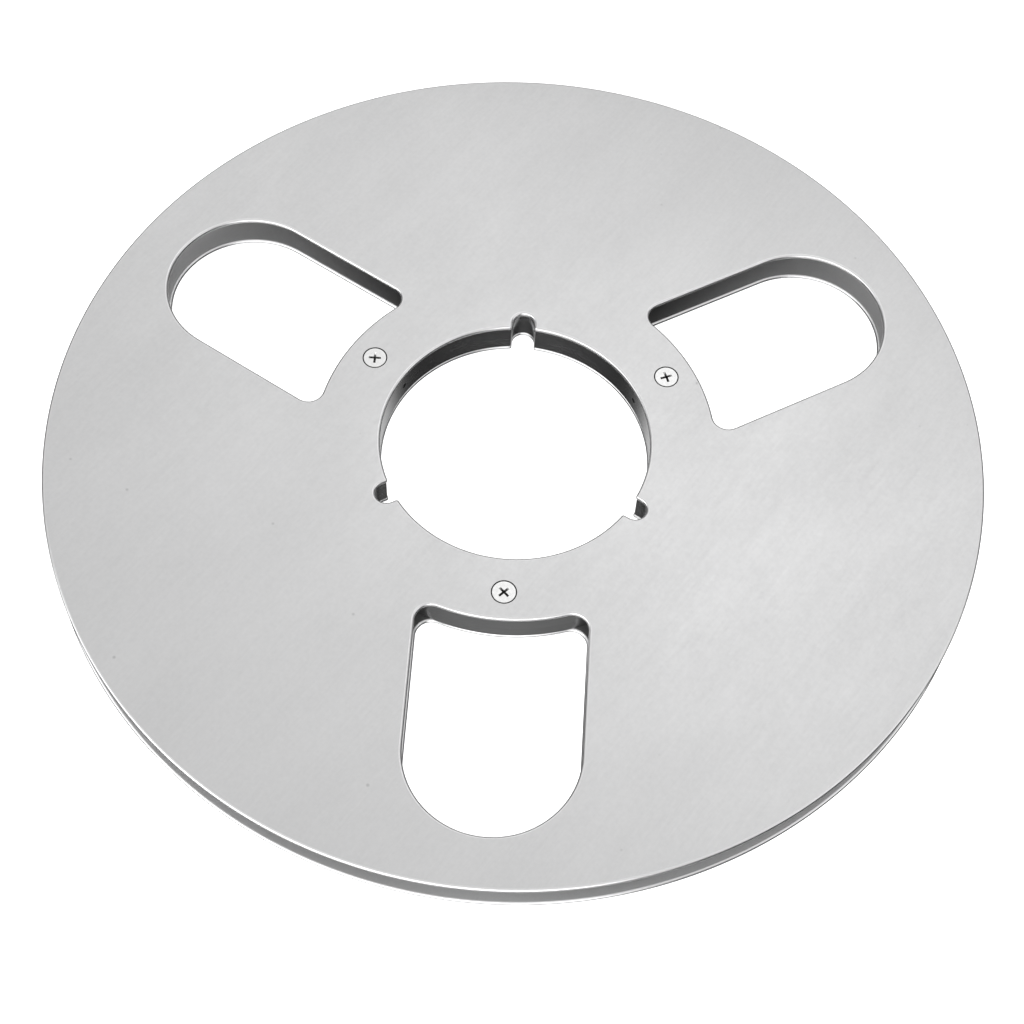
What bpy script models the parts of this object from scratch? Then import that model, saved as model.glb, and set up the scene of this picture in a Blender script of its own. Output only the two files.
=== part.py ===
"""An empty 10.5 inch open-reel tape reel of aluminium, with the wide three-notch hub.

Two flat flanges are screwed to a hub ring, three countersunk screws from each side. The origin is on
the reel's axis, in the plane of the lower flange's outer face, and +Z is the axis. Metres.
"""

import math

import bmesh
import bpy

# Sizes that can each be set by themselves.
REEL_RADIUS = 0.13335
FLANGE_THICKNESS = 0.0016
WINDING_GAP = 0.0085
HUB_RADIUS = 0.05715
BORE_RADIUS = 0.03845
FLANGE_EDGE_BREAK = 0.0004
HUB_EDGE_BREAK = 0.0002

# The three windows of each flange: straight sides, a half-round outer end, a hub-side edge that
# follows the drum. The rim is what is left between a window and the reel's edge.
WINDOW_HALF_WIDTH = 0.02365
WINDOW_CORNER_RADIUS = 0.0044
RIM_WIDTH = 0.01435

# The three notches that the machine's hub adapter drives, as deep as given from the flange's bore.
NOTCH_HALF_WIDTH = 0.0033
NOTCH_DEPTH = 0.00505
NOTCH_MOUTH_RADIUS = 0.0007

# Countersunk cross-recess screws. They stand a little outside the middle of the hub's wall, and the
# two that share a hole stop short of each other.
SCREW_WALL_SHARE = 0.56
SCREW_END_GAP = 0.0013
SCREW_HEAD_RADIUS = 0.0033
SCREW_HEAD_LAND = 0.00015
SCREW_SHANK_RADIUS = 0.00175
SCREW_TIP_CHAMFER = 0.0003
RECESS_SPAN = 0.0038
RECESS_ARM_WIDTH = 0.0008
RECESS_DEPTH = 0.0013

# Small blind holes drilled into the hub's bore wall, one in line with each screw.
SIDE_HOLE_RADIUS = 0.0008
SIDE_HOLE_DEPTH = 0.0040

# The hub stands back this far from the flanges' edges, at its bore, its notches and its drum.
HUB_SETBACK = 0.0002

# Clearances.
SCREW_CLEARANCE = 0.0003
FACE_GAP = 0.0003

# Where the repeated features stand, as angles about the axis.
SCREW_ANGLES = [math.radians(a) for a in (30, 150, 270)]
NOTCH_ANGLES = [math.radians(a) for a in (90, 210, 330)]
UPPER_RECESS_TURNS = [math.radians(a) for a in (22, 0, 45)]
LOWER_RECESS_TURNS = [math.radians(a) for a in (10, 63, 35)]

# How finely the round shapes are divided.
RIM_STEPS = 120
DRUM_STEPS = 96
WINDOW_END_STEPS = 20
WINDOW_INNER_STEPS = 8
CORNER_STEPS = 5
BORE_STEPS = 24
NOTCH_END_STEPS = 10
MOUTH_STEPS = 2
TURNED_STEPS = 28

# Worked out from the sizes above.
REEL_HEIGHT = 2 * FLANGE_THICKNESS + WINDING_GAP
HUB_HEIGHT = WINDING_GAP - 2 * FACE_GAP
HUB_BORE_RADIUS = BORE_RADIUS + HUB_SETBACK
HUB_NOTCH_HALF_WIDTH = NOTCH_HALF_WIDTH + HUB_SETBACK
NOTCH_CENTRE_RADIUS = BORE_RADIUS + NOTCH_DEPTH - NOTCH_HALF_WIDTH
WINDOW_INNER_RADIUS = HUB_RADIUS + HUB_SETBACK
WINDOW_REACH = REEL_RADIUS - RIM_WIDTH
SCREW_CIRCLE_RADIUS = HUB_BORE_RADIUS + SCREW_WALL_SHARE * (HUB_RADIUS - HUB_BORE_RADIUS)
SCREW_LENGTH = (REEL_HEIGHT - SCREW_END_GAP) / 2
CUT_OVERRUN = 0.002


def clear_scene():
    for item in list(bpy.data.objects):
        bpy.data.objects.remove(item, do_unlink=True)


def new_collection(name):
    collection = bpy.data.collections.new(name)
    bpy.context.scene.collection.children.link(collection)
    return collection


def metal(name, colour, roughness):
    """A bare metal: the colour is its reflectance, and roughness blurs it."""
    material = bpy.data.materials.new(name)
    material.use_nodes = True
    shader = material.node_tree.nodes["Principled BSDF"]
    shader.inputs["Base Color"].default_value = (*colour, 1.0)
    shader.inputs["Metallic"].default_value = 1.0
    shader.inputs["Roughness"].default_value = roughness
    return material


def arc(centre, radius, start, end, steps):
    """Points from angle start to angle end, both included."""
    angles = [start + (end - start) * i / steps for i in range(steps + 1)]
    return [(centre[0] + radius * math.cos(a), centre[1] + radius * math.sin(a)) for a in angles]


def circle(radius, steps):
    return arc((0.0, 0.0), radius, 0.0, 2 * math.pi * (1 - 1 / steps), steps - 1)


def turned(points, angle):
    """The points rotated about the axis."""
    c, s = math.cos(angle), math.sin(angle)
    return [(x * c - y * s, x * s + y * c) for x, y in points]


def window_outline():
    """One window, drawn with its outer end towards +X."""
    end_centre = (WINDOW_REACH - WINDOW_HALF_WIDTH, 0.0)
    # Each corner's fillet touches the straight side and the hub-side circle from outside it.
    corner_y = WINDOW_HALF_WIDTH - WINDOW_CORNER_RADIUS
    corner_distance = WINDOW_INNER_RADIUS + WINDOW_CORNER_RADIUS
    corner_x = math.sqrt(corner_distance**2 - corner_y**2)
    touch = math.atan2(corner_y, corner_x)
    quarter = math.pi / 2
    upper_corner = arc((corner_x, corner_y), WINDOW_CORNER_RADIUS, quarter, math.pi + touch, CORNER_STEPS)
    lower_corner = [(x, -y) for x, y in reversed(upper_corner)]
    inner_edge = arc((0.0, 0.0), WINDOW_INNER_RADIUS, touch, -touch, WINDOW_INNER_STEPS)
    outer_end = arc(end_centre, WINDOW_HALF_WIDTH, -quarter, quarter, WINDOW_END_STEPS)
    return outer_end + upper_corner + inner_edge[1:-1] + lower_corner


def bore_outline(bore_radius, notch_half_width):
    """The bore's circle with its three notches, counter-clockwise."""
    # The mouth's rounding touches the bore's circle from outside it and the notch's straight side.
    mouth_y = notch_half_width + NOTCH_MOUTH_RADIUS
    mouth_x = math.sqrt((bore_radius + NOTCH_MOUTH_RADIUS) ** 2 - mouth_y**2)
    touch = math.atan2(mouth_y, mouth_x)
    quarter = math.pi / 2
    mouth_centre = (mouth_x, -mouth_y)
    near_mouth = arc(mouth_centre, NOTCH_MOUTH_RADIUS, math.pi - touch, quarter, MOUTH_STEPS)
    notch_end = arc((NOTCH_CENTRE_RADIUS, 0.0), notch_half_width, -quarter, quarter, NOTCH_END_STEPS)
    far_mouth = [(x, -y) for x, y in reversed(near_mouth)]
    notch = near_mouth + notch_end + far_mouth
    third = 2 * math.pi / 3
    bore_arc = arc((0.0, 0.0), bore_radius, touch, third - touch, BORE_STEPS)[1:-1]
    points = []
    for angle in NOTCH_ANGLES:
        points += turned(notch + bore_arc, angle)
    return points


def flat_plate(name, outlines, thickness, edge_break, collection):
    """A plate from closed outlines, the first one outside and the rest holes, centred on z = 0."""
    curve = bpy.data.curves.new(name + "_outline", "CURVE")
    curve.dimensions = "2D"
    curve.fill_mode = "BOTH"
    curve.extrude = thickness / 2 - edge_break
    curve.bevel_depth = edge_break
    curve.bevel_resolution = 0
    curve.offset = -edge_break
    for outline in outlines:
        spline = curve.splines.new("POLY")
        spline.points.add(len(outline) - 1)
        for point, (x, y) in zip(spline.points, outline):
            point.co = (x, y, 0.0, 1.0)
        spline.use_cyclic_u = True
    drawing = bpy.data.objects.new(name + "_drawing", curve)
    collection.objects.link(drawing)
    graph = bpy.context.evaluated_depsgraph_get()
    mesh = bpy.data.meshes.new_from_object(drawing.evaluated_get(graph))
    bpy.data.objects.remove(drawing)
    weld(mesh)
    plate = bpy.data.objects.new(name, mesh)
    collection.objects.link(plate)
    return plate


def weld(mesh):
    shape = bmesh.new()
    shape.from_mesh(mesh)
    bmesh.ops.remove_doubles(shape, verts=shape.verts, dist=1e-6)
    shape.to_mesh(mesh)
    shape.free()


def turned_piece(name, profile, collection, start=0.0):
    """A solid of revolution about Z from a profile of (radius, height), top to bottom."""
    mesh = bpy.data.meshes.new(name)
    shape = bmesh.new()
    points = [shape.verts.new(on_circle(radius, start, height)) for radius, height in profile]
    for above, below in zip(points, points[1:]):
        shape.edges.new((above, below))
    shape.to_mesh(mesh)
    shape.free()
    piece = bpy.data.objects.new(name, mesh)
    collection.objects.link(piece)
    lathe = piece.modifiers.new("lathe", "SCREW")
    lathe.axis = "Z"
    lathe.steps = TURNED_STEPS
    lathe.render_steps = TURNED_STEPS
    lathe.use_merge_vertices = True
    lathe.merge_threshold = 1e-6
    return piece


def as_cutter(item):
    item.hide_render = True
    item.display_type = "WIRE"
    return item


def box_cutter(name, size, collection):
    """A box centred on the origin."""
    mesh = bpy.data.meshes.new(name)
    shape = bmesh.new()
    bmesh.ops.create_cube(shape, size=1.0)
    bmesh.ops.scale(shape, vec=size, verts=shape.verts)
    shape.to_mesh(mesh)
    shape.free()
    cutter = bpy.data.objects.new(name, mesh)
    collection.objects.link(cutter)
    return as_cutter(cutter)


def cut(item, cutter):
    boolean = item.modifiers.new("cut_" + cutter.name, "BOOLEAN")
    boolean.operation = "DIFFERENCE"
    boolean.solver = "EXACT"
    boolean.object = cutter


def smooth_round_faces(mesh):
    mesh.shade_smooth()
    mesh.set_sharp_from_angle(angle=math.radians(25))


def on_circle(radius, angle, height):
    return (radius * math.cos(angle), radius * math.sin(angle), height)


def screw_head_outline(growth):
    """The countersunk head from its outer face at height 0 down, grown all round by a clearance."""
    head = SCREW_HEAD_RADIUS + growth
    shank = SCREW_SHANK_RADIUS + growth
    # The cone slopes at 45 degrees, so it drops by this much to stand off by the growth too.
    cone_top = -SCREW_HEAD_LAND - growth * (math.sqrt(2) - 1)
    cone_bottom = cone_top - (SCREW_HEAD_RADIUS - SCREW_SHANK_RADIUS)
    return [(head, cone_top), (shank, cone_bottom)]


def make_screw_cutter(name, angle, cutters):
    """Clears a pair of screws that meet in one hole: a countersink at each end, right through."""
    head = screw_head_outline(SCREW_CLEARANCE)
    top_half = [(0.0, CUT_OVERRUN), (head[0][0], CUT_OVERRUN)] + head
    bottom_half = [(radius, -REEL_HEIGHT - height) for radius, height in reversed(top_half)]
    cutter = as_cutter(turned_piece(name, top_half + bottom_half, cutters))
    cutter.location = on_circle(SCREW_CIRCLE_RADIUS, angle, REEL_HEIGHT)
    return cutter


def make_flange(side, height, screw_cutters, material, parts):
    outlines = [circle(REEL_RADIUS, RIM_STEPS)]
    outlines.append(bore_outline(BORE_RADIUS, NOTCH_HALF_WIDTH))
    for angle in SCREW_ANGLES:
        outlines.append(turned(window_outline(), angle))
    flange = flat_plate(side + "_flange", outlines, FLANGE_THICKNESS, FLANGE_EDGE_BREAK, parts)
    flange.location.z = height
    for cutter in screw_cutters:
        cut(flange, cutter)
    flange.data.materials.append(material)
    smooth_round_faces(flange.data)
    return flange


def make_hub(screw_cutters, material, parts, cutters):
    outlines = [circle(HUB_RADIUS, DRUM_STEPS), bore_outline(HUB_BORE_RADIUS, HUB_NOTCH_HALF_WIDTH)]
    hub = flat_plate("hub", outlines, HUB_HEIGHT, HUB_EDGE_BREAK, parts)
    hub.location.z = REEL_HEIGHT / 2
    for cutter in screw_cutters:
        cut(hub, cutter)
    drill_length = SIDE_HOLE_DEPTH + CUT_OVERRUN
    for number, angle in enumerate(SCREW_ANGLES, 1):
        ends = [(SIDE_HOLE_RADIUS, drill_length), (SIDE_HOLE_RADIUS, 0.0)]
        profile = [(0.0, drill_length)] + ends + [(0.0, 0.0)]
        half_step = math.pi / TURNED_STEPS
        drill = as_cutter(turned_piece(f"side_hole_drill_{number}", profile, cutters, half_step))
        # Laid over by a quarter turn, so that it starts inside the bore and points outwards.
        drill.rotation_euler = (0.0, math.pi / 2, angle)
        drill.location = on_circle(HUB_BORE_RADIUS - CUT_OVERRUN, angle, REEL_HEIGHT / 2)
        cut(hub, drill)
    hub.data.materials.append(material)
    smooth_round_faces(hub.data)
    return hub


def make_screw_mesh(material, cutters):
    """The screw's shape, made once: a turned body with a cross cut into its head."""
    tip_top = (SCREW_SHANK_RADIUS, SCREW_TIP_CHAMFER - SCREW_LENGTH)
    tip_end = (SCREW_SHANK_RADIUS - SCREW_TIP_CHAMFER, -SCREW_LENGTH)
    profile = [(0.0, 0.0), (SCREW_HEAD_RADIUS, 0.0)] + screw_head_outline(0.0)
    profile += [tip_top, tip_end, (0.0, -SCREW_LENGTH)]
    blank = turned_piece("screw_blank", profile, cutters)
    depth = 2 * RECESS_DEPTH
    long_arm = (RECESS_SPAN, RECESS_ARM_WIDTH, depth)
    cross_arm = (RECESS_ARM_WIDTH, RECESS_SPAN, depth)
    arms = [box_cutter("recess_arm_x", long_arm, cutters), box_cutter("recess_arm_y", cross_arm, cutters)]
    for arm in arms:
        cut(blank, arm)
    graph = bpy.context.evaluated_depsgraph_get()
    mesh = bpy.data.meshes.new_from_object(blank.evaluated_get(graph))
    for helper in [blank] + arms:
        bpy.data.objects.remove(helper)
    mesh.materials.clear()
    mesh.materials.append(material)
    smooth_round_faces(mesh)
    return mesh


def make_screws(side, turns, mesh, parts):
    """Three screws with their heads in one flange's outer face; the lower ones stand head down."""
    face_height, tilt = (REEL_HEIGHT, 0.0) if side == "upper" else (0.0, math.pi)
    for number, (angle, turn) in enumerate(zip(SCREW_ANGLES, turns), 1):
        screw = bpy.data.objects.new(f"{side}_screw_{number}", mesh)
        parts.objects.link(screw)
        screw.location = on_circle(SCREW_CIRCLE_RADIUS, angle, face_height)
        screw.rotation_euler = (tilt, 0.0, turn)


def main():
    clear_scene()
    parts = new_collection("tape_reel")
    cutters = new_collection("cutters")
    flange_metal = metal("brushed_aluminium", (0.80, 0.80, 0.80), 0.35)
    hub_metal = metal("turned_aluminium", (0.76, 0.76, 0.76), 0.30)
    screw_metal = metal("plated_steel", (0.85, 0.85, 0.84), 0.25)

    screw_cutters = [
        make_screw_cutter(f"screw_clearance_{number}", angle, cutters)
        for number, angle in enumerate(SCREW_ANGLES, 1)
    ]
    upper_height = REEL_HEIGHT - FLANGE_THICKNESS / 2
    make_flange("upper", upper_height, screw_cutters, flange_metal, parts)
    make_flange("lower", FLANGE_THICKNESS / 2, screw_cutters, flange_metal, parts)
    make_hub(screw_cutters, hub_metal, parts, cutters)
    screw_mesh = make_screw_mesh(screw_metal, cutters)
    make_screws("upper", UPPER_RECESS_TURNS, screw_mesh, parts)
    make_screws("lower", LOWER_RECESS_TURNS, screw_mesh, parts)


main()
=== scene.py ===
# %% [markdown]
# # The looks of an empty tape reel
#
# The real object is the big studio reel that holds quarter-inch recording tape: two flat
# aluminium flanges, 1.6 mm thick, screwed from both sides to an aluminium hub ring. It is bare
# metal all through, so its looks live in three things: the long straight brushing of the faces,
# the rounded edges that catch the light, and the tight machined detail round the bore.
#
# This file loads the engineering model as a frame that never moves, builds a finer version of
# each piece in the same place, gives each its finish, and sets up a small studio round it.

# %% Load the frame
import math

import bpy
from mathutils import Matrix, Vector


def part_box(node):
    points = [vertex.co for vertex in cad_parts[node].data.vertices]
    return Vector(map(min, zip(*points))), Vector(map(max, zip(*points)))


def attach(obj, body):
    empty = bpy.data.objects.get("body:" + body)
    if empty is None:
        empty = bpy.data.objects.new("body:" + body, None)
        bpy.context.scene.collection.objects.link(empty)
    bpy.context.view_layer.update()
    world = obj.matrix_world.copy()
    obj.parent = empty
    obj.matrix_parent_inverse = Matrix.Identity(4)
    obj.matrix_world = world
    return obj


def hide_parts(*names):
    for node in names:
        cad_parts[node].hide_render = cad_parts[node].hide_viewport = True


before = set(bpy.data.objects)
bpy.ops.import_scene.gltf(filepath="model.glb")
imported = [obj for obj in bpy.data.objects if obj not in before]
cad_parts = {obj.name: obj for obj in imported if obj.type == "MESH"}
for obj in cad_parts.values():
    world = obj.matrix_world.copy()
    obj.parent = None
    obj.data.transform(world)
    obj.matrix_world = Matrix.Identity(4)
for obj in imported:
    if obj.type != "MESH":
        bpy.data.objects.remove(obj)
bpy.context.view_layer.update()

# %% [markdown]
# ## The camera
#
# A reel is nearly all face, so it is looked at from well above, close enough for the near rim to
# come out larger than the far one. The camera stands over the near side, aims a little short of
# the axis, and leans over by under three degrees. A camera could be turned with a Track To
# constraint; building its axes from the aim direction and one roll angle keeps it a plain object.

# %% Camera
CAMERA_PLACE = Vector((0.00655, -0.29325, 0.48894))
CAMERA_AIM = Vector((0.00060, -0.02391, 0.01170))
CAMERA_ROLL = math.radians(2.727)
CAMERA_LENS = 69.16
CAMERA_SENSOR = 36.0


def add_camera():
    data = bpy.data.cameras.new("studio_camera")
    data.lens = CAMERA_LENS
    data.sensor_width = CAMERA_SENSOR
    data.clip_start = 0.01
    data.clip_end = 50.0
    camera = bpy.data.objects.new("studio_camera", data)
    bpy.context.scene.collection.objects.link(camera)
    aim = (CAMERA_AIM - CAMERA_PLACE).to_track_quat("-Z", "Y").to_matrix().to_4x4()
    camera.matrix_world = Matrix.Translation(CAMERA_PLACE) @ aim @ Matrix.Rotation(CAMERA_ROLL, 4, "Z")
    return camera


bpy.context.scene.camera = add_camera()
print("camera at", CAMERA_PLACE, "lens", CAMERA_LENS)

# %% [markdown]
# ## Sizes
#
# Every overall size is read from the frame's boxes: the flange's radius and thickness, the hub's
# radius, where the screws stand. What a box can't tell, such as the bore and the shape of a
# window, is written here as the maker's drawing would give it. Lengths are in metres.

# %% Sizes that the frame gives
flange_low, flange_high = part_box("upper_flange")
hub_low, hub_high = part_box("hub")
screw_low, screw_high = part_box("upper_screw_2")

REEL_RADIUS = (flange_high.x - flange_low.x) / 2
THICKNESS = flange_high.z - flange_low.z
TOP = flange_high.z
INNER_LOW = THICKNESS
INNER_HIGH = TOP - THICKNESS
HUB_RADIUS = (hub_high.x - hub_low.x) / 2
HEAD_RADIUS = (screw_high.x - screw_low.x) / 2
SCREW_LENGTH = screw_high.z - screw_low.z
SCREW_CIRCLE = ((screw_low + screw_high) / 2).xy.length
print(f"flange {REEL_RADIUS:.5f} x {THICKNESS:.5f}, hub {HUB_RADIUS:.5f}, screws on {SCREW_CIRCLE:.5f}")

# %% Sizes from the drawing
BORE_RADIUS = 0.03845
HUB_SETBACK = 0.0002
NOTCH_HALF_WIDTH = 0.0033
NOTCH_CENTRE = 0.0402
NOTCH_MOUTH = 0.0007
RIM_WIDTH = 0.01435
WINDOW_HALF_WIDTH = 0.02365
WINDOW_CORNER = 0.0044
WINDOW_REACH = REEL_RADIUS - RIM_WIDTH
WINDOW_INNER = HUB_RADIUS + HUB_SETBACK
SHANK_RADIUS = 0.00175

SCREW_ANGLES = [math.radians(a) for a in (30, 150, 270)]
NOTCH_ANGLES = [math.radians(a) for a in (90, 210, 330)]
QUARTER = math.pi / 2
HALF = math.pi
THIRD = 2 * math.pi / 3
FULL = 2 * math.pi
print(f"bore {BORE_RADIUS:.5f}, windows from {WINDOW_INNER:.5f} to {WINDOW_REACH:.5f}")

# %% [markdown]
# ## Drawing an outline
#
# The flange is a sheet with a lot of outline: a rim, three windows, a bore with three notches.
# It could be a disc with holes cut by Booleans, but then each window would be a stack of cutters.
# Drawing works better, as on a drawing board: a pen point is put down, an extrude makes a straight
# line, and a spin about a centre makes an arc. Each stretch ends where the next one starts, and
# one merge closes the loop. In Blender without a window, spin turns clockwise for a positive
# angle, so its axis points down here and positive angles turn anticlockwise.

# %% The pen
ORIGIN = (0.0, 0.0, 0.0)
PEN_SIZE = 0.0005


def rest_selection():
    """Object mode, nothing selected."""
    if bpy.context.mode != "OBJECT":
        bpy.ops.object.mode_set(mode="OBJECT")
    bpy.ops.object.select_all(action="DESELECT")


def pen_down(place):
    """A tiny triangle that is merged into one point."""
    bpy.ops.mesh.primitive_circle_add(vertices=3, radius=PEN_SIZE, location=place)
    bpy.ops.mesh.merge(type="CENTER")


def line(move):
    bpy.ops.mesh.extrude_vertices_move(TRANSFORM_OT_translate={"value": move})


def arc(centre, angle, steps):
    bpy.ops.mesh.spin(steps=steps, angle=angle, center=centre, axis=(0.0, 0.0, -1.0))


def turned(x, y, angle):
    """The point or move (x, y) turned about the reel's axis."""
    c, s = math.cos(angle), math.sin(angle)
    return Vector((x * c - y * s, x * s + y * c, 0.0))


print("pen: one metre along X, turned a quarter, is", turned(1.0, 0.0, QUARTER))

# %% [markdown]
# ## The window and the bore
#
# Three large windows let a hand reach the hub to thread the tape. Each has a round outer end,
# straight sides, and an inner edge that follows the hub's drum between two rounded corners. The
# bore's three notches take the lugs of the machine's hub. Both outlines are drawn once, facing
# along X, with each point turned to its angle as it is drawn. Where a corner's circle touches the
# drum or the bore comes from a right triangle, which is what makes every arc run on smoothly.

# %% One window's outline
WINDOW_END_STEPS = 40
WINDOW_INNER_STEPS = 24
CORNER_STEPS = 10
CORNER_Y = WINDOW_HALF_WIDTH - WINDOW_CORNER
CORNER_X = math.sqrt((WINDOW_INNER + WINDOW_CORNER) ** 2 - CORNER_Y**2)


def draw_window(angle):
    """Outer end, side, corner, inner edge, corner, side."""
    touch = math.atan2(CORNER_Y, CORNER_X)
    end_x = WINDOW_REACH - WINDOW_HALF_WIDTH
    side = end_x - CORNER_X
    pen_down(turned(end_x, -WINDOW_HALF_WIDTH, angle))
    arc(turned(end_x, 0.0, angle), HALF, WINDOW_END_STEPS)
    line(turned(-side, 0.0, angle))
    arc(turned(CORNER_X, CORNER_Y, angle), QUARTER + touch, CORNER_STEPS)
    arc(ORIGIN, -2 * touch, WINDOW_INNER_STEPS)
    arc(turned(CORNER_X, -CORNER_Y, angle), QUARTER + touch, CORNER_STEPS)
    line(turned(side, 0.0, angle))


print(f"window corners centred {CORNER_X:.5f} out and {CORNER_Y:.5f} to each side")

# %% The bore's outline with its notches
MOUTH_STEPS = 5
NOTCH_END_STEPS = 20
BORE_STEPS = 56


def draw_bore(radius, notch_half_width):
    """Each notch: a small rounding at its mouth, a straight side, a half-round end, and back."""
    mouth_y = notch_half_width + NOTCH_MOUTH
    mouth_x = math.sqrt((radius + NOTCH_MOUTH) ** 2 - mouth_y**2)
    touch = math.atan2(mouth_y, mouth_x)
    side = NOTCH_CENTRE - mouth_x
    start = (radius * math.cos(touch), -radius * math.sin(touch))
    pen_down(turned(*start, NOTCH_ANGLES[0]))
    for angle in NOTCH_ANGLES:
        arc(turned(mouth_x, -mouth_y, angle), touch - QUARTER, MOUTH_STEPS)
        line(turned(side, 0.0, angle))
        arc(turned(NOTCH_CENTRE, 0.0, angle), HALF, NOTCH_END_STEPS)
        line(turned(-side, 0.0, angle))
        arc(turned(mouth_x, mouth_y, angle), touch - QUARTER, MOUTH_STEPS)
        arc(ORIGIN, THIRD - 2 * touch, BORE_STEPS)


print(f"notches reach {NOTCH_CENTRE + NOTCH_HALF_WIDTH:.5f} from the axis")

# %% [markdown]
# ## From outline to plate
#
# Fill turns the closed loops into one flat region with its holes open. Extruding it makes the
# wall. A worker then breaks the edges with a file and a tumbler, which leaves a small quarter
# round. The Bevel modifier could round them, but on a filled face full of long thin triangles it
# gives uneven steps. Insetting the whole face a little at a time, each inset also rising a little,
# draws the quarter round exactly and works the same at the rim, the windows and the notches.

# %% Raise a plate and round its edges
MERGE_DISTANCE = 0.000001
LEVEL = 0.9
FLANGE_ROUND = 0.00076
HUB_ROUND = 0.00004
FLANGE_ROUND_STEPS = 5
HUB_ROUND_STEPS = 2


def select_faces(piece, wanted):
    """Selects the faces for which wanted(centre, normal) is true, and goes to edit mode."""
    if bpy.context.mode != "OBJECT":
        bpy.ops.object.mode_set(mode="OBJECT")
    bpy.context.view_layer.objects.active = piece
    mesh = piece.data
    mesh.vertices.foreach_set("select", [False] * len(mesh.vertices))
    mesh.edges.foreach_set("select", [False] * len(mesh.edges))
    chosen = [bool(wanted(face.center, face.normal)) for face in mesh.polygons]
    mesh.polygons.foreach_set("select", chosen)
    bpy.ops.object.mode_set(mode="EDIT")
    bpy.ops.mesh.select_mode(type="FACE")


def round_over(radius, steps):
    """Rounds the border of the selected flat region outwards along its own normal."""
    stops = [i * QUARTER / steps for i in range(steps + 1)]
    for before, after in zip(stops, stops[1:]):
        inwards = radius * (math.cos(before) - math.cos(after))
        outwards = radius * (math.sin(after) - math.sin(before))
        bpy.ops.mesh.inset(thickness=inwards, depth=outwards, use_even_offset=True)


def raise_plate(piece, low, high, edge_round, steps):
    """From the closed outlines in edit mode to a solid plate with rounded edges."""
    bpy.ops.mesh.select_all(action="SELECT")
    bpy.ops.mesh.remove_doubles(threshold=MERGE_DISTANCE)
    bpy.ops.mesh.fill(use_beauty=True)
    bpy.ops.transform.translate(value=(0.0, 0.0, low + edge_round))
    wall = high - low - 2 * edge_round
    bpy.ops.mesh.extrude_region_move(TRANSFORM_OT_translate={"value": (0.0, 0.0, wall)})
    bpy.ops.mesh.select_all(action="SELECT")
    bpy.ops.mesh.normals_make_consistent(inside=False)
    for side in (1.0, -1.0):
        select_faces(piece, lambda centre, normal: normal.z * side > LEVEL)
        round_over(edge_round, steps)
    bpy.ops.object.mode_set(mode="OBJECT")


print("edge rounds: flange", FLANGE_ROUND, "hub", HUB_ROUND)

# %% [markdown]
# ## Smooth where it is round, flat where it is flat
#
# Smooth shading blends the direction of neighbouring faces, and next to a rounded edge it would
# make a flat sheet look pillowed. Splitting the edges would cure that and spoil the rounding. The
# Weighted Normal modifier keeps both: the large face wins at each corner that it shares.

# %% Shading
SHADE_ANGLE = 35


def finish_shading(piece, angle=SHADE_ANGLE):
    """Smooth up to that angle, with the broad flat faces held truly flat."""
    rest_selection()
    piece.select_set(True)
    bpy.context.view_layer.objects.active = piece
    bpy.ops.object.shade_smooth_by_angle(angle=math.radians(angle))
    modifier = piece.modifiers.new("flat_faces_stay_flat", "WEIGHTED_NORMAL")
    modifier.keep_sharp = True
    bpy.ops.object.modifier_apply(modifier=modifier.name)


print("smooth up to", SHADE_ANGLE, "degrees")

# %% [markdown]
# ## Turned shapes
#
# Screws, drills and countersinks are all lathe work: a profile swept round an axis. The profile
# is drawn with the same pen, from the axis out and back to the axis, and spun once round. The
# seam and the two poles are merged, so the solid is closed, and its normals are made consistent.
# A finished piece has to keep its object at the origin, so it is its mesh that is moved.

# %% A solid of revolution
LATHE_STEPS = 64


def turned_solid(name, profile, steps):
    """A closed solid about the Z axis from a list of (radius, height), axis to axis."""
    rest_selection()
    bpy.ops.mesh.primitive_circle_add(vertices=3, radius=PEN_SIZE)
    piece = bpy.context.active_object
    piece.name = name
    bpy.ops.object.mode_set(mode="EDIT")
    bpy.ops.mesh.select_mode(type="VERT")
    bpy.ops.mesh.merge(type="CENTER")
    bpy.ops.transform.translate(value=(profile[0][0], 0.0, profile[0][1]))
    for here, there in zip(profile, profile[1:]):
        line((there[0] - here[0], 0.0, there[1] - here[1]))
    bpy.ops.mesh.select_all(action="SELECT")
    arc(ORIGIN, FULL, steps)
    bpy.ops.mesh.select_all(action="SELECT")
    bpy.ops.mesh.remove_doubles(threshold=MERGE_DISTANCE)
    bpy.ops.mesh.normals_make_consistent(inside=False)
    bpy.ops.object.mode_set(mode="OBJECT")
    return piece


def put(piece, matrix):
    """Moves the mesh itself, so that the object stays at the origin."""
    piece.data.transform(matrix)
    piece.data.update()
    return piece


def copied(piece, name):
    """Another object with a mesh of its own."""
    twin = bpy.data.objects.new(name, piece.data.copy())
    bpy.context.scene.collection.objects.link(twin)
    twin.data.name = name
    return twin


print("lathe:", LATHE_STEPS, "steps round a screw or a countersink")

# %% Where the screws stand, and how a shape is cut
def on_screw_circle(angle, height):
    return turned(SCREW_CIRCLE, 0.0, angle) + Vector((0.0, 0.0, height))


def cut_away(piece, cutters):
    """Subtracts each cutter and throws it away."""
    for cutter in cutters:
        rest_selection()
        piece.select_set(True)
        bpy.context.view_layer.objects.active = piece
        modifier = piece.modifiers.new("cut", "BOOLEAN")
        modifier.operation = "DIFFERENCE"
        modifier.solver = "EXACT"
        modifier.object = cutter
        bpy.ops.object.modifier_apply(modifier=modifier.name)
        bpy.data.objects.remove(cutter)


print("screws stand at", [tuple(on_screw_circle(angle, 0.0).xy) for angle in SCREW_ANGLES])

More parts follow.
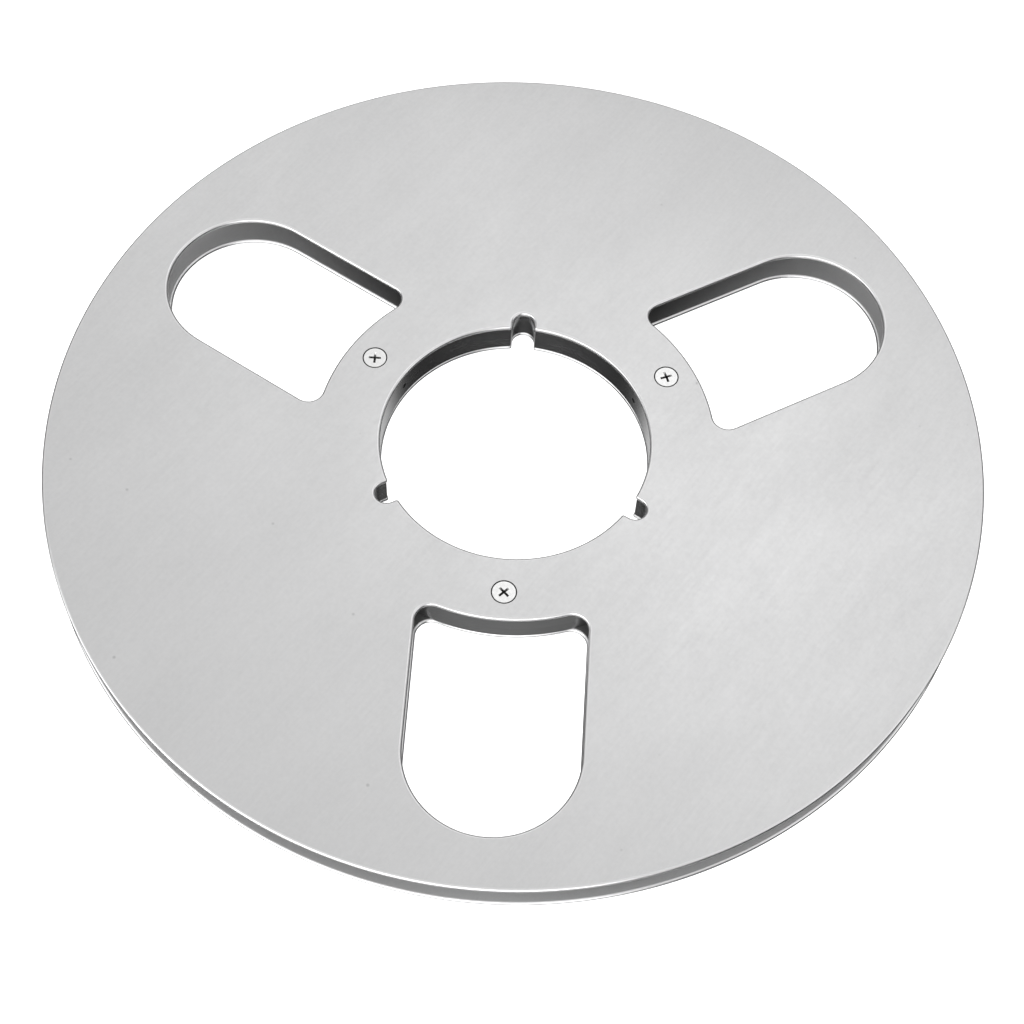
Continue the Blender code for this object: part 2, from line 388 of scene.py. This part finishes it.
# %% [markdown]
# ## Finishes from nodes
#
# Grain is a noise that is stretched: its Mapping node is of the Texture kind, whose scale is the
# real length and width of one scratch in metres. An image of brushed metal would be quicker, but
# it repeats and has one fixed fineness. Noise layers that read the place on the object run on
# over windows and hub without a seam. The same layers drive the colour, the roughness and a very
# shallow bump, as one real scratch would.

# %% Node helpers
GRAIN_ANGLE = math.radians(56)


def new_metal(name):
    """A bare metal: the material, its node tree and its shader."""
    material = bpy.data.materials.new(name)
    material.use_nodes = True
    shader = material.node_tree.nodes["Principled BSDF"]
    shader.inputs["Metallic"].default_value = 1.0
    return material, material.node_tree, shader


def add_node(tree, kind, links=None, **settings):
    """One node. links says what feeds its inputs; a number or a tuple is set as a constant."""
    node = tree.nodes.new(kind)
    for key, value in settings.items():
        setattr(node, key, value)
    for key, value in (links or {}).items():
        if isinstance(value, bpy.types.NodeSocket):
            tree.links.new(value, node.inputs[key])
        else:
            node.inputs[key].default_value = value
    return node


def calc(tree, operation, a, b):
    return add_node(tree, "ShaderNodeMath", {0: a, 1: b}, operation=operation).outputs[0]


def layered(tree, *layers):
    """Adds up layers, each of them a value and its share."""
    total = calc(tree, "MULTIPLY", *layers[0])
    for value, share in layers[1:]:
        total = calc(tree, "ADD", total, calc(tree, "MULTIPLY", value, share))
    return total


def spread(tree, value, low, high, to_low, to_high, **settings):
    """The value between low and high, carried to between to_low and to_high."""
    links = {"Value": value, 1: low, 2: high, 3: to_low, 4: to_high}
    return add_node(tree, "ShaderNodeMapRange", links, **settings).outputs[0]


def soft_step(tree, *ends):
    """The same, with a gentle start and end."""
    return spread(tree, *ends, interpolation_type="SMOOTHSTEP")


def tint(tree, value, dark, light):
    """A grey between dark and light."""
    links = {"Factor": value, 6: (*dark, 1.0), 7: (*light, 1.0)}
    return add_node(tree, "ShaderNodeMix", links, data_type="RGBA").outputs[2]


def dress(tree, shader, colour, rough, height=None, depth=0.0):
    """Feeds the shader its colour and roughness, and a bump of that depth if there is a height."""
    tree.links.new(colour, shader.inputs["Base Color"])
    tree.links.new(rough, shader.inputs["Roughness"])
    if height is not None:
        bump = add_node(tree, "ShaderNodeBump", {"Height": height, "Strength": 1.0, "Distance": depth})
        tree.links.new(bump.outputs[0], shader.inputs["Normal"])


def tell(material):
    print("finish:", material.name, "from", len(material.node_tree.nodes), "nodes")
    return material


print("grain runs at", round(math.degrees(GRAIN_ANGLE)), "degrees")

# %% Places and noises to read
def object_place(tree):
    return add_node(tree, "ShaderNodeTexCoord").outputs["Object"]


def own_place(tree):
    """Where a point was on the one screw that all six are copied from."""
    return add_node(tree, "ShaderNodeAttribute", attribute_name="own_place").outputs["Vector"]


def height_of(tree, place):
    return add_node(tree, "ShaderNodeSeparateXYZ", {0: place}).outputs[2]


def distance_from_axis(tree, place):
    """How far the place is from the Z axis."""
    links = {0: place, 1: (1.0, 1.0, 0.0)}
    flat = add_node(tree, "ShaderNodeVectorMath", links, operation="MULTIPLY").outputs[0]
    return add_node(tree, "ShaderNodeVectorMath", {0: flat}, operation="LENGTH").outputs["Value"]


def stretched_noise(tree, source, size, turn=0.0, detail=2.0, start=ORIGIN):
    """Noise whose grains measure size along, across and in depth, turned about Z."""
    links = {"Vector": source, "Location": start, "Rotation": (0.0, 0.0, turn), "Scale": size}
    place = add_node(tree, "ShaderNodeMapping", links, vector_type="TEXTURE").outputs[0]
    links = {"Vector": place, "Scale": 1.0, "Detail": detail}
    return add_node(tree, "ShaderNodeTexNoise", links).outputs["Fac"]


def even_noise(tree, place, size, detail):
    return stretched_noise(tree, place, (size, size, size), 0.0, detail)


def rings_round_axis(tree, place, size, detail):
    """Fine turned rings: noise that only reads the distance from the Z axis and the height."""
    links = {0: distance_from_axis(tree, place), 2: height_of(tree, place)}
    read = add_node(tree, "ShaderNodeCombineXYZ", links).outputs[0]
    return stretched_noise(tree, read, (size, 1.0, size), 0.0, detail)


print("noise sizes are in metres")

# %% [markdown]
# ## Brushed aluminium, for the faces
#
# The sheet is brushed in one straight direction before the blank is cut. A fine layer and a
# coarse layer of scratches, both faint from years of wiping, are added to a mottled layer and a
# cloudy one. A few longer scratches lie a little askew. Where a cell's centre of a Voronoi
# pattern happens to lie in the surface there is a small grey pit, which keeps the sheet from
# looking ideal.

# %% Brushed faces
SCRATCH_ASKEW = 0.035
SPECKS_PER_METRE = 66.7


def brushed_aluminium():
    material, tree, shader = new_metal("brushed_aluminium_face")
    place = object_place(tree)
    fine = stretched_noise(tree, place, (0.005, 0.00014, 0.01), GRAIN_ANGLE)
    coarse = stretched_noise(tree, place, (0.011, 0.0008, 0.02), GRAIN_ANGLE, 3.0)
    cloud = stretched_noise(tree, place, (0.050, 0.022, 0.05), GRAIN_ANGLE, 4.0)
    mottle = even_noise(tree, place, 0.0011, 3.0)
    grain = layered(tree, (fine, 0.22), (coarse, 0.20), (mottle, 0.30), (cloud, 0.28))
    askew = GRAIN_ANGLE + SCRATCH_ASKEW
    scratch = stretched_noise(tree, place, (0.030, 0.00025, 0.02), askew, 0.0, (0.3, 0.1, 0.0))
    scratch = spread(tree, scratch, 0.74, 0.80, 0.0, 1.0)
    shade = spread(tree, grain, 0.35, 0.65, 0.0, 1.0)
    clean = tint(tree, shade, (0.645, 0.645, 0.647), (0.705, 0.705, 0.707))
    cells = {"Vector": place, "Scale": SPECKS_PER_METRE}
    apart = add_node(tree, "ShaderNodeTexVoronoi", cells).outputs["Distance"]
    speck = soft_step(tree, apart, 0.012, 0.045, 0.40, 0.0)
    links = {"Factor": speck, 6: clean, 7: (0.30, 0.30, 0.30, 1.0)}
    colour = add_node(tree, "ShaderNodeMix", links, data_type="RGBA").outputs[2]
    rough = spread(tree, grain, 0.3, 0.7, 0.40, 0.29)
    rough = calc(tree, "SUBTRACT", rough, calc(tree, "MULTIPLY", scratch, 0.03))
    dress(tree, shader, colour, rough, layered(tree, (fine, 0.4), (coarse, 0.5)), 0.000003)
    return material


FACE_METAL = tell(brushed_aluminium())

# %% [markdown]
# ## Aluminium with painted shade, for the inner faces
#
# Between the flanges the same sheet is left etched and dull, so that the tape slides without
# sticking. Its colour is painted shade: dark towards the hub, deep in the gap where little light
# reaches, and paler towards the rim, where light comes in. That could be painted by hand; reading
# the distance from the axis gives the same shade all the way round.

# %% Inner faces, where the tape runs
GAP_SHADE_START = 0.060
GAP_SHADE_END = 0.112


def inner_aluminium():
    material, tree, shader = new_metal("aluminium_inner_face_painted_gap_shade")
    place = object_place(tree)
    fine = stretched_noise(tree, place, (0.004, 0.00018, 0.01), GRAIN_ANGLE)
    pits = even_noise(tree, place, 0.0006, 3.0)
    mixed = layered(tree, (fine, 0.5), (pits, 0.5))
    # Painted shade: darker towards the hub, paler towards the rim.
    painted_gap_shade = spread(tree, distance_from_axis(tree, place), GAP_SHADE_START, GAP_SHADE_END, 0.0, 0.9)
    tone = calc(tree, "ADD", painted_gap_shade, calc(tree, "MULTIPLY", mixed, 0.15))
    colour = tint(tree, tone, (0.26, 0.26, 0.262), (0.75, 0.75, 0.752))
    dress(tree, shader, colour, spread(tree, mixed, 0.3, 0.7, 0.60, 0.50), mixed, 0.000003)
    return material


INNER_METAL = tell(inner_aluminium())

# %% [markdown]
# ## Dressed edges
#
# A cut edge is dressed with a fine file and then tumbled. It comes out smoother and paler than
# the faces, with faint lines that run along it and a few soft nicks from handling. The lines are
# noise that is long in X and Y and thin in height, so they follow every edge at once.

# %% Edges
def dressed_edge():
    material, tree, shader = new_metal("dressed_aluminium_edge")
    place = object_place(tree)
    lines = stretched_noise(tree, place, (0.006, 0.006, 0.00006))
    nicks = even_noise(tree, place, 0.0015, 4.0)
    mixed = layered(tree, (lines, 0.6), (nicks, 0.4))
    shade = spread(tree, mixed, 0.3, 0.7, 0.0, 1.0)
    colour = tint(tree, shade, (0.76, 0.76, 0.762), (0.86, 0.86, 0.862))
    dress(tree, shader, colour, spread(tree, mixed, 0.3, 0.7, 0.38, 0.27), mixed, 0.000002)
    return material


EDGE_METAL = tell(dressed_edge())

# %% [markdown]
# ## Turned aluminium, for the hub
#
# The hub comes off a lathe: finely turned in the bore, and left matt on the drum so that the tape's
# end grips it. Its colour is darker on the drum than in the bore, which is painted shade. Two
# materials would do, but one that reads the distance from the axis changes over inside the wall,
# where nothing shows.

# %% Hub
BORE_SIDE = 0.045
DRUM_SIDE = 0.055


def turned_aluminium():
    material, tree, shader = new_metal("turned_aluminium_hub")
    place = object_place(tree)
    rings = rings_round_axis(tree, place, 0.00012, 3.0)
    cloud = stretched_noise(tree, place, (0.012, 0.012, 0.004), 0.0, 3.0)
    mixed = layered(tree, (rings, 0.6), (cloud, 0.4))
    radius = distance_from_axis(tree, place)
    # Painted shade: the colour darkens from the bore out to the drum.
    painted_drum_shade = spread(tree, radius, BORE_SIDE, DRUM_SIDE, 0.0, 0.7)
    tone = calc(tree, "SUBTRACT", spread(tree, mixed, 0.3, 0.7, 0.6, 1.0), painted_drum_shade)
    colour = tint(tree, tone, (0.26, 0.26, 0.262), (0.52, 0.52, 0.522))
    matt = spread(tree, radius, BORE_SIDE, DRUM_SIDE, 0.0, 0.12)
    rough = calc(tree, "ADD", spread(tree, mixed, 0.3, 0.7, 0.30, 0.20), matt)
    dress(tree, shader, colour, rough, rings, 0.000003)
    return material


HUB_METAL = tell(turned_aluminium())

# %% [markdown]
# ## Plated steel, for the screws
#
# The screws are the brightest metal here, with rings from turning the head. The rings are
# centred on each screw, not on the reel, so they read the places that each screw stores of its
# own shape before it is moved. The cross recess is formed by a punch: it is duller than the
# head, and painted shade makes it darker with depth, with a little dirt mottled over it.

# %% Screws
RECESS_FLOOR = -0.0014


def plated_steel():
    material, tree, shader = new_metal("plated_steel_screw")
    place = own_place(tree)
    rings = rings_round_axis(tree, place, 0.00009, 2.0)
    cloud = even_noise(tree, place, 0.0011, 4.0)
    mixed = layered(tree, (rings, 0.5), (cloud, 0.5))
    shade = spread(tree, mixed, 0.3, 0.7, 0.0, 1.0)
    colour = tint(tree, shade, (0.70, 0.70, 0.698), (0.86, 0.86, 0.858))
    dress(tree, shader, colour, spread(tree, mixed, 0.3, 0.7, 0.30, 0.18), mixed, 0.0000006)
    return material


def recess_steel():
    material, tree, shader = new_metal("punched_steel_recess_painted_shade")
    place = own_place(tree)
    dirt = stretched_noise(tree, place, (0.0005, 0.0005, 0.0003), 0.0, 3.0)
    # Painted shade: the recess darkens with depth.
    shade = spread(tree, height_of(tree, place), RECESS_FLOOR, 0.0, 0.0, 0.9)
    shade = calc(tree, "ADD", shade, spread(tree, dirt, 0.35, 0.65, -0.15, 0.2))
    colour = tint(tree, shade, (0.06, 0.06, 0.06), (0.85, 0.85, 0.845))
    dress(tree, shader, colour, spread(tree, dirt, 0.3, 0.7, 0.50, 0.32))
    return material


SCREW_METAL = tell(plated_steel())
RECESS_METAL = tell(recess_steel())

# %% [markdown]
# ## Dark metal, painted shade for the small hollows
#
# Little light gets into a pin hole or round a screw head. The shape alone would leave such a
# narrow gap too pale, so its walls get a dull dark metal, which is painted shade.

# %% Hollows
def hollow_metal():
    material, tree, shader = new_metal("dark_metal_painted_shade_in_hollows")
    dirt = even_noise(tree, object_place(tree), 0.0004, 3.0)
    shade = spread(tree, dirt, 0.3, 0.7, 0.0, 1.0)
    # Painted shade: the walls of the hollows are nearly black.
    colour = tint(tree, shade, (0.05, 0.05, 0.05), (0.16, 0.16, 0.155))
    dress(tree, shader, colour, spread(tree, dirt, 0.3, 0.7, 0.60, 0.40))
    return material


HOLLOW_METAL = tell(hollow_metal())

# %% [markdown]
# ## The flanges
#
# The rim starts as a circle primitive; the windows and the bore are drawn into the same mesh, so
# that one fill takes them all. The three countersinks come last, as a machinist would cut them:
# each cutter is a turned shape with a straight land, a 45 degree cone and the clearance hole.
# Faces that look straight up or down get the brushed finish, or the inner one with its painted
# shade where they look at the other flange. The countersinks' walls get dark metal as painted
# shade, and the rest is dressed edge.

# %% Countersink cutter
COUNTERSINK_GAP = 0.0003
LAND_DEPTH = 0.0004
CUTTER_ABOVE = 0.001
CUTTER_BELOW = -0.003


def countersink_cutter():
    """Stands head up with the flange's outer face at height 0."""
    head = HEAD_RADIUS + COUNTERSINK_GAP
    shank = SHANK_RADIUS + COUNTERSINK_GAP
    cone = head - shank
    profile = [(0.0, CUTTER_ABOVE), (head, CUTTER_ABOVE), (head, -LAND_DEPTH)]
    profile += [(shank, -LAND_DEPTH - cone), (shank, CUTTER_BELOW), (0.0, CUTTER_BELOW)]
    return turned_solid("countersink", profile, LATHE_STEPS)


print("countersink", round(2 * (HEAD_RADIUS + COUNTERSINK_GAP), 5), "across")

# %% Build one flange
RIM_STEPS = 360
FLAT = 0.9999
SLACK = 1.01
FACE_SLOT, EDGE_SLOT, INNER_SLOT, HOLLOW_SLOT = range(4)


def give_flange_metals(flange):
    for metal in (FACE_METAL, EDGE_METAL, INNER_METAL, HOLLOW_METAL):
        flange.data.materials.append(metal)
    holes = [on_screw_circle(angle, 0.0).xy for angle in SCREW_ANGLES]
    for face in flange.data.polygons:
        face.material_index = FACE_SLOT
        if abs(face.normal.z) < FLAT:
            nearest = min((face.center.xy - hole).length for hole in holes)
            in_hole = nearest < HEAD_RADIUS + SLACK * COUNTERSINK_GAP
            # Countersink walls get the dark metal: painted shade.
            face.material_index = HOLLOW_SLOT if in_hole else EDGE_SLOT
        elif THICKNESS / 2 < face.center.z < TOP - THICKNESS / 2:
            face.material_index = INNER_SLOT


def build_flange(name, low, head_up):
    rest_selection()
    bpy.ops.mesh.primitive_circle_add(vertices=RIM_STEPS, radius=REEL_RADIUS)
    flange = bpy.context.active_object
    flange.name = name
    bpy.ops.object.mode_set(mode="EDIT")
    bpy.ops.mesh.select_mode(type="VERT")
    for angle in SCREW_ANGLES:
        draw_window(angle)
    draw_bore(BORE_RADIUS, NOTCH_HALF_WIDTH)
    raise_plate(flange, low, low + THICKNESS, FLANGE_ROUND, FLANGE_ROUND_STEPS)
    cutter = countersink_cutter()
    if not head_up:
        put(cutter, Matrix.Rotation(HALF, 4, "X"))
    height = low + THICKNESS if head_up else low
    cutters = []
    for angle in SCREW_ANGLES:
        place = Matrix.Translation(on_screw_circle(angle, height))
        cutters.append(put(copied(cutter, "countersink_copy"), place))
    bpy.data.objects.remove(cutter)
    cut_away(flange, cutters)
    give_flange_metals(flange)
    finish_shading(flange)
    return flange


upper_flange = build_flange("brushed_upper_flange", INNER_HIGH, True)
lower_flange = build_flange("brushed_lower_flange", 0.0, False)
print("flanges:", len(upper_flange.data.polygons), len(lower_flange.data.polygons), "faces")

# %% [markdown]
# ## The hub
#
# The hub ring is turned from thick stock and its bore gets the same three notches. It stands a
# hair back from the flanges' edges all round, so that each flange shows as a bright line above
# and below its darker wall. Each screw hole goes right through, and a small blind hole for a pin
# is drilled from the bore in line with each screw. The holes are cut with shapes of the drills
# themselves, which leaves a round bottom and clean edges.

# %% The pin holes
SIDE_HOLE_RADIUS = 0.0008
SIDE_HOLE_DEPTH = 0.0040
DRILL_POINT = 0.0004
DRILL_START = -0.001
DRILL_STEPS = 32
PIN_HOLE_FROM = BORE_RADIUS + 0.001
PIN_HOLE_TO = SCREW_CIRCLE - 0.003


def side_drill(angle):
    """A drill with a blunt cone for its point, laid over to point outwards from the bore."""
    profile = [(0.0, DRILL_START), (SIDE_HOLE_RADIUS, DRILL_START)]
    profile += [(SIDE_HOLE_RADIUS, SIDE_HOLE_DEPTH), (0.0, SIDE_HOLE_DEPTH + DRILL_POINT)]
    drill = turned_solid("side_drill", profile, DRILL_STEPS)
    lay_over = Matrix.Rotation(QUARTER, 4, "Y")
    out = Matrix.Translation((BORE_RADIUS + HUB_SETBACK, 0.0, TOP / 2))
    return put(drill, Matrix.Rotation(angle, 4, "Z") @ out @ lay_over)


def in_side_hole(place, angle):
    """Whether the place is in the wall or the end of the pin hole at that angle."""
    way = turned(1.0, 0.0, angle)
    along = place @ way
    across = (place - along * way - Vector((0.0, 0.0, TOP / 2))).length
    return across < SLACK * SIDE_HOLE_RADIUS and PIN_HOLE_FROM < along < PIN_HOLE_TO


print("pin holes", 2 * SIDE_HOLE_RADIUS, "across and", SIDE_HOLE_DEPTH, "deep")

# %% Build the hub
DRUM_STEPS = 288
SEAT_GAP = 0.00002
TAP_GAP = 0.0002
TAP_STEPS = 48


def tap_drill(angle):
    reach = TOP / 2
    radius = SHANK_RADIUS + TAP_GAP
    profile = [(0.0, -reach), (radius, -reach), (radius, reach), (0.0, reach)]
    drill = turned_solid("tap_drill", profile, TAP_STEPS)
    return put(drill, Matrix.Translation(on_screw_circle(angle, TOP / 2)))


def build_hub():
    rest_selection()
    bpy.ops.mesh.primitive_circle_add(vertices=DRUM_STEPS, radius=HUB_RADIUS)
    hub = bpy.context.active_object
    hub.name = "turned_hub"
    bpy.ops.object.mode_set(mode="EDIT")
    bpy.ops.mesh.select_mode(type="VERT")
    draw_bore(BORE_RADIUS + HUB_SETBACK, NOTCH_HALF_WIDTH + HUB_SETBACK)
    raise_plate(hub, INNER_LOW + SEAT_GAP, INNER_HIGH - SEAT_GAP, HUB_ROUND, HUB_ROUND_STEPS)
    cut_away(hub, [tap_drill(angle) for angle in SCREW_ANGLES])
    cut_away(hub, [side_drill(angle) for angle in SCREW_ANGLES])
    hub.data.materials.append(HUB_METAL)
    hub.data.materials.append(HOLLOW_METAL)
    for face in hub.data.polygons:
        # Pin hole walls get the dark metal: painted shade.
        face.material_index = int(any(in_side_hole(face.center, angle) for angle in SCREW_ANGLES))
    finish_shading(hub)
    return hub


hub = build_hub()
print("hub:", len(hub.data.polygons), "faces")

# %% [markdown]
# ## The screws
#
# Six countersunk machine screws with a cross recess. The body is turned, with a small rounding at
# the rim of its head and a thread cut as close rings, since a thread this fine and this hidden
# needs no helix. The recess is cut with a tapered blade, once along and once across. The screw is
# modelled once, head up at the origin; each copy is turned by its own angle, as screws end up
# wherever they are tight.

# %% The screw's body
HEAD_EDGE = 0.0001
SCREW_LAND = 0.00015
THREAD_PITCH = 0.0005
THREAD_DEPTH = 0.00022
THREAD_START = 0.0002
THREAD_END = 0.0004
TIP_CHAMFER = 0.0003


def screw_profile():
    cone_end = -SCREW_LAND - (HEAD_RADIUS - SHANK_RADIUS)
    points = [(0.0, 0.0), (HEAD_RADIUS - HEAD_EDGE, 0.0)]
    points += [(HEAD_RADIUS - 0.3 * HEAD_EDGE, -0.3 * HEAD_EDGE), (HEAD_RADIUS, -HEAD_EDGE)]
    points += [(HEAD_RADIUS, -SCREW_LAND), (SHANK_RADIUS, cone_end)]
    height = cone_end - THREAD_START
    while height - THREAD_PITCH > -SCREW_LENGTH + THREAD_END:
        points.append((SHANK_RADIUS, height))
        points.append((SHANK_RADIUS - THREAD_DEPTH, height - THREAD_PITCH / 2))
        height -= THREAD_PITCH
    points += [(SHANK_RADIUS, height), (SHANK_RADIUS, -SCREW_LENGTH + TIP_CHAMFER)]
    points += [(SHANK_RADIUS - TIP_CHAMFER, -SCREW_LENGTH), (0.0, -SCREW_LENGTH)]
    return points


print("screw profile:", len(screw_profile()), "points")

# %% The recess, and one whole screw
RECESS_SPAN = 0.0036
RECESS_WIDTH = 0.00068
RECESS_DEPTH = 0.0016
RECESS_REACH = 0.0022
RECESS_SKIN = 0.00003
RECESS_TAPERS = ((1.0, 1.6), (-1.0, 0.4))
SCREW_SHADE_ANGLE = 20


def recess_blade(turn):
    """A cube scaled to the recess, its upper face let out and its lower face drawn in."""
    rest_selection()
    bpy.ops.mesh.primitive_cube_add(size=1.0)
    blade = bpy.context.active_object
    bpy.ops.object.mode_set(mode="EDIT")
    bpy.ops.transform.resize(value=(RECESS_SPAN, RECESS_WIDTH, 2 * RECESS_DEPTH))
    for side, taper in RECESS_TAPERS:
        select_faces(blade, lambda centre, normal: normal.z * side > LEVEL)
        ends = (taper, 0.5 + 0.5 * taper, 1.0)
        bpy.ops.transform.resize(value=ends, center_override=(0.0, 0.0, side * RECESS_DEPTH))
    bpy.ops.object.mode_set(mode="OBJECT")
    return put(blade, Matrix.Rotation(turn, 4, "Z"))


def in_recess(place):
    return -RECESS_DEPTH - 0.00001 < place.z < -RECESS_SKIN and place.xy.length < RECESS_REACH


def build_screw():
    screw = turned_solid("screw_master", screw_profile(), LATHE_STEPS)
    cut_away(screw, [recess_blade(0.0), recess_blade(QUARTER)])
    screw.data.materials.append(SCREW_METAL)
    screw.data.materials.append(RECESS_METAL)
    for face in screw.data.polygons:
        face.material_index = int(in_recess(face.center))
    own = screw.data.attributes.new("own_place", "FLOAT_VECTOR", "POINT")
    for vertex, stored in zip(screw.data.vertices, own.data):
        stored.vector = vertex.co
    finish_shading(screw, SCREW_SHADE_ANGLE)
    return screw


screw_master = build_screw()
print("screw:", len(screw_master.data.polygons), "faces")

# %% Six copies, each with its own turn
UPPER_TURNS = [math.radians(a) for a in (22, 0, 45)]
LOWER_TURNS = [math.radians(a) for a in (10, 63, 35)]

screws = {}
for side, height, tilt, turns in (("upper", TOP, 0.0, UPPER_TURNS), ("lower", 0.0, HALF, LOWER_TURNS)):
    for number, (angle, turn) in enumerate(zip(SCREW_ANGLES, turns), 1):
        screw = copied(screw_master, f"plated_{side}_screw_{number}")
        place = Matrix.Translation(on_screw_circle(angle, height))
        put(screw, place @ Matrix.Rotation(turn, 4, "Z") @ Matrix.Rotation(tilt, 4, "X"))
        screws[f"{side}_screw_{number}"] = screw
bpy.data.objects.remove(screw_master)
print("screws:", sorted(screws))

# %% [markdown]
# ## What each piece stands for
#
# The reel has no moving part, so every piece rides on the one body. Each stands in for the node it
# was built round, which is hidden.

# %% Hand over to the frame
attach(upper_flange, "root")
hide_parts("upper_flange")
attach(lower_flange, "root")
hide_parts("lower_flange")
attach(hub, "root")
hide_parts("hub")
for node, screw in screws.items():
    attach(screw, "root")
    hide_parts(node)
print("handed over:", 3 + len(screws), "pieces")

# %% [markdown]
# ## The table
#
# Bare metal shows whatever stands round it, so the studio is most of the picture. The table and
# its cove are white and evenly lit, as on a light table. They are hidden from glossy rays, which
# black card would do in a real studio, so that the walls of the bore and the windows stay dark
# and the reel reads against white. They cast no shadow either, so that the low lights reach the
# metal.

# %% Floor and cove
COVE_RADIUS = 2.0
COVE_BEND = 0.8
COVE_STEPS = 8
COVE_SIDES = 96
FLOOR_DROP = 0.0002


def white_table():
    material = bpy.data.materials.new("white_table")
    material.use_nodes = True
    shader = material.node_tree.nodes["Principled BSDF"]
    shader.inputs["Base Color"].default_value = (0.9, 0.9, 0.9, 1.0)
    shader.inputs["Roughness"].default_value = 0.9
    shader.inputs["Specular IOR Level"].default_value = 0.0
    shader.inputs["Emission Color"].default_value = (1.0, 1.0, 1.0, 1.0)
    shader.inputs["Emission Strength"].default_value = 1.0
    return material


def build_cove():
    """A round white table top that curves up into a wall all round."""
    rest_selection()
    bpy.ops.mesh.primitive_circle_add(vertices=COVE_SIDES, radius=COVE_RADIUS, fill_type="NGON")
    cove = bpy.context.active_object
    cove.name = "white_cove"
    bpy.ops.object.mode_set(mode="EDIT")
    bpy.ops.mesh.select_mode(type="EDGE")
    bpy.ops.mesh.select_all(action="SELECT")
    bpy.ops.mesh.region_to_loop()
    step, reach = QUARTER / COVE_STEPS, COVE_RADIUS
    for number in range(1, COVE_STEPS + 1):
        angle = number * step
        wider = COVE_RADIUS + COVE_BEND * math.sin(angle)
        higher = COVE_BEND * (math.cos(angle - step) - math.cos(angle))
        bpy.ops.mesh.extrude_region_move(TRANSFORM_OT_translate={"value": (0.0, 0.0, higher)})
        bpy.ops.transform.resize(value=(wider / reach, wider / reach, 1.0), center_override=ORIGIN)
        reach = wider
    bpy.ops.object.mode_set(mode="OBJECT")
    cove.data.materials.append(white_table())
    put(cove, Matrix.Translation((0.0, 0.0, -FLOOR_DROP)))
    cove.visible_glossy = False
    cove.visible_shadow = False
    rest_selection()
    return cove


print("cove:", len(build_cove().data.polygons), "faces")

# %% [markdown]
# ## The sky of the studio
#
# Over the reel there is a large pale ceiling, a little brighter to the right, which the flat
# faces mirror. Round the horizon it is dark, so that the metal has something to contrast with.
# The walls of the bore and of the windows look down and back, so a soft pale patch lies there. A
# world made of gradients is smoother than so many lamps would be.

# %% Sky
def dome(dark, below, left_above, right_above):
    world = bpy.data.worlds.new("studio")
    bpy.context.scene.world = world
    world.use_nodes = True
    tree = world.node_tree
    way = add_node(tree, "ShaderNodeTexCoord").outputs["Generated"]
    parts = add_node(tree, "ShaderNodeSeparateXYZ", {0: way}).outputs
    links = {0: way, 1: (0.0, 0.6, -0.8)}
    fall = add_node(tree, "ShaderNodeVectorMath", links, operation="DOT_PRODUCT").outputs["Value"]
    behind = soft_step(tree, fall, 0.78, 1.0, dark, below)
    beneath = soft_step(tree, parts[2], -0.90, -0.96, 0.0, 1.3)
    under = calc(tree, "MAXIMUM", behind, beneath)
    above = spread(tree, parts[0], -0.6, 0.6, left_above, right_above)
    rise = soft_step(tree, parts[2], 0.05, 0.75, 0.0, 1.0)
    level = add_node(tree, "ShaderNodeMix", {"Factor": rise, 2: under, 3: above})
    tree.links.new(level.outputs[0], tree.nodes["Background"].inputs["Color"])


dome(dark=0.035, below=0.90, left_above=0.775, right_above=0.835)
print("sky:", bpy.context.scene.world.name)

# %% [markdown]
# ## The lamps
#
# Three small softboxes at the back add the gentle brighter patches that a brushed face shows.
# The big one in front lies almost on the table and draws the white line along the near rim. One
# on each side does the same for the roundings that face left and right. All are square lamps
# that face the reel; a point lamp would draw hard sparks in such smooth edges.

# %% Lamps
SOFTBOX_DISTANCE = 1.6
SOFTBOXES = (
    ("back_softbox", (0.13, 0.47, 0.88), (0.6, 0.45), 0.49),
    ("back_right_softbox", (0.35, 0.40, 0.85), (0.6, 0.6), 0.14),
    ("back_left_softbox", (-0.15, 0.60, 0.80), (0.6, 0.6), 0.28),
    ("front_softbox", (-0.34, -0.94, 0.05), (3.0, 2.0), 38.0),
    ("left_softbox", (-0.93, -0.25, 0.26), (1.2, 1.2), 7.0),
    ("right_softbox", (0.92, -0.25, 0.30), (1.4, 1.0), 3.5),
)


def soft_light(name, direction, size, watts):
    """A softbox that faces the reel from that direction."""
    data = bpy.data.lights.new(name, "AREA")
    data.shape = "RECTANGLE"
    data.size, data.size_y = size
    data.energy = watts
    lamp = bpy.data.objects.new(name, data)
    bpy.context.scene.collection.objects.link(lamp)
    lamp.location = Vector(direction).normalized() * SOFTBOX_DISTANCE
    lamp.rotation_mode = "QUATERNION"
    lamp.rotation_quaternion = (-lamp.location).to_track_quat("-Z", "Y")
    lamp.visible_camera = False


for softbox in SOFTBOXES:
    soft_light(*softbox)
bpy.context.scene.view_settings.view_transform = "Standard"
